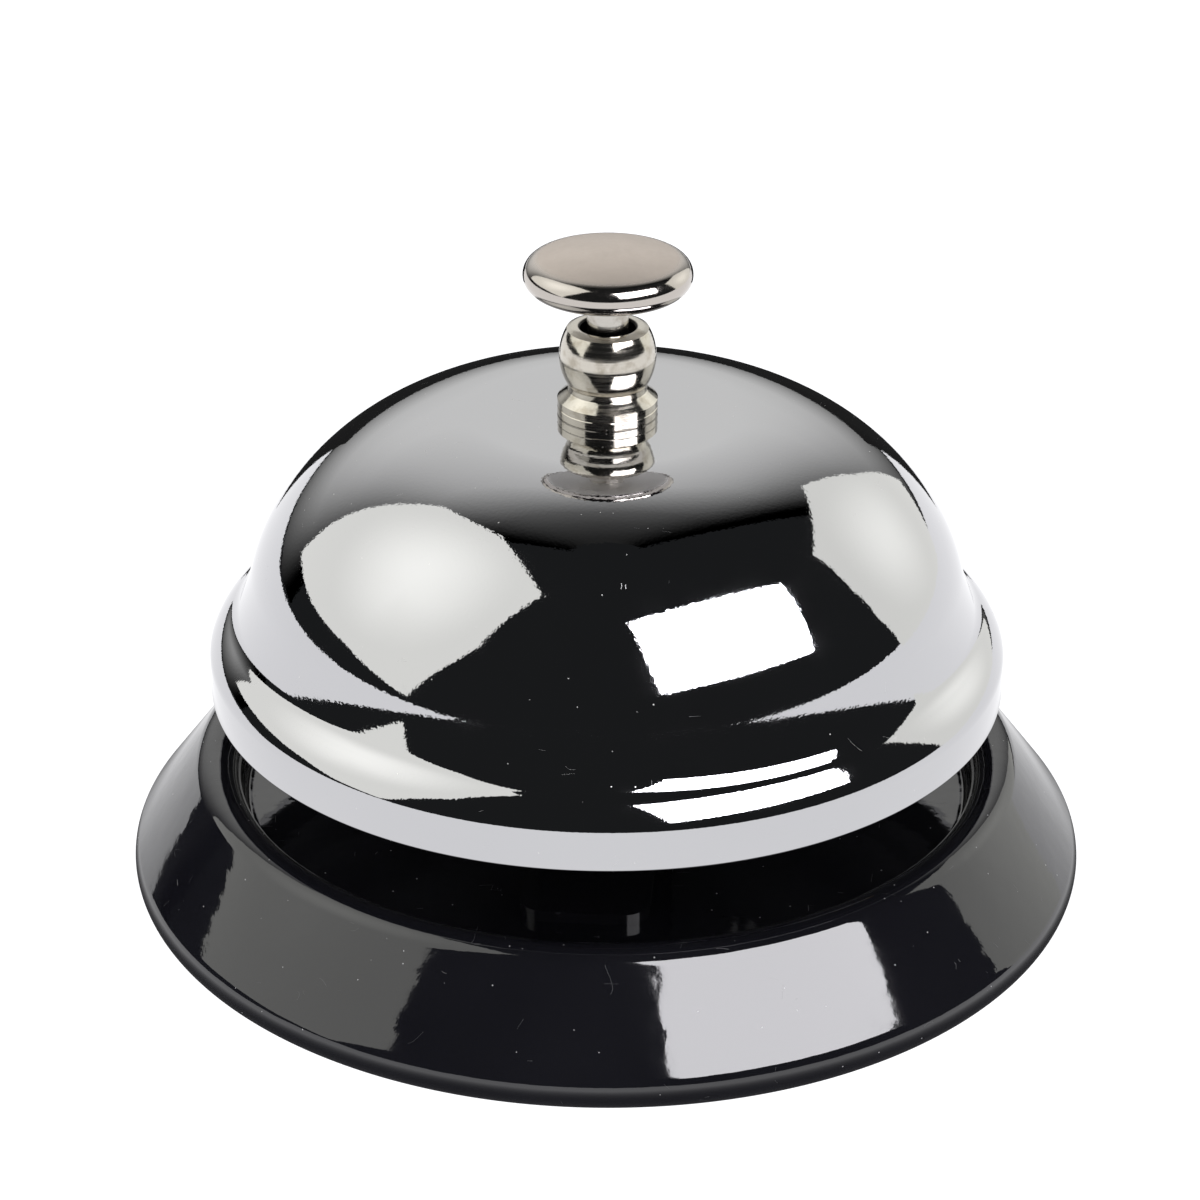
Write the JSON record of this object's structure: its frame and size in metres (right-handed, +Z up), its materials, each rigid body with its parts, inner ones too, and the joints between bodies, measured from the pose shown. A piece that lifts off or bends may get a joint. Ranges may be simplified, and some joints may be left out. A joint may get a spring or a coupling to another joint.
{
  "type": "service bell",
  "caption": "Counter call bell: push button on a hollow stem, chromed bell shell, pivoted striker in an inner frame, flared black base.",
  "frame": {"origin": "centre of the underside, where the bell rests", "axes": "+Z up along the bell's axis; the striker swings in the XZ plane; the frame's feet point along Y"},
  "size_m": [0.0848, 0.0848, 0.0585],
  "materials": {
    "base_pan": "gloss black stove enamel on pressed steel",
    "bottom_plate": "plain steel disc",
    "foot_pad": "black foam rubber",
    "lever_frame": "black lacquered steel strap",
    "frame_rivets": "steel round-head rivets",
    "stem_tube": "turned, nickel plated",
    "lock_washer": "zinc plated",
    "stem_nut": "zinc plated",
    "seat_washer": "red vulcanised fibre",
    "bell_dome": "bright chrome plate",
    "bell_nut": "bright nickel plate, turned",
    "push_button": "nickel plate, satin crown",
    "plunger_rod": "nickel plated rod",
    "plunger_clip": "spring steel",
    "return_spring": "spring wire",
    "striker_arm": "zinc plated strip",
    "striker_head": "turned brass",
    "head_rivet": "steel rivet",
    "pivot_pin": "steel pin",
    "pin_spacers": "zinc plated sleeves",
    "pin_clip": "spring steel",
    "stop_pin": "steel pin",
    "stop_sleeve": "black rubber tube"
  },
  "bodies": {
    "base": {"base_pan": "base_pan", "bottom_plate": "bottom_plate", "foot_pad": "foot_pad", "lever_frame": "lever_frame", "frame_rivets": "frame_rivets", "stem_tube": "stem_tube", "lock_washer": "lock_washer", "stem_nut": "stem_nut", "seat_washer": "seat_washer", "bell_dome": "bell_dome", "bell_nut": "bell_nut", "return_spring": "return_spring", "pivot_pin": "pivot_pin", "pin_spacers": "pin_spacers", "pin_clip": "pin_clip", "stop_pin": "stop_pin", "stop_sleeve": "stop_sleeve"},
    "plunger": {"push_button": "push_button", "plunger_rod": "plunger_rod", "plunger_clip": "plunger_clip"},
    "striker": {"striker_arm": "striker_arm", "striker_head": "striker_head", "head_rivet": "head_rivet"}
  },
  "joints": [
    {"name": "button_press", "type": "slide", "parent": "base", "child": "plunger", "axis": [0, 0, -1], "range_m": [0, 0.003], "stiffness_N_per_m": 400, "springref_m": -0.002, "deforming": ["return_spring"]},
    {"name": "striker_swing", "type": "hinge", "parent": "base", "child": "striker", "pos_m": [0.007, 0, 0.03197], "axis": [0, -1, 0], "range_deg": [0, 24.2]}
  ],
  "couplings": [
    {"joint": "striker_swing", "follows": "button_press", "rad_per_m": 140.73}
  ]
}
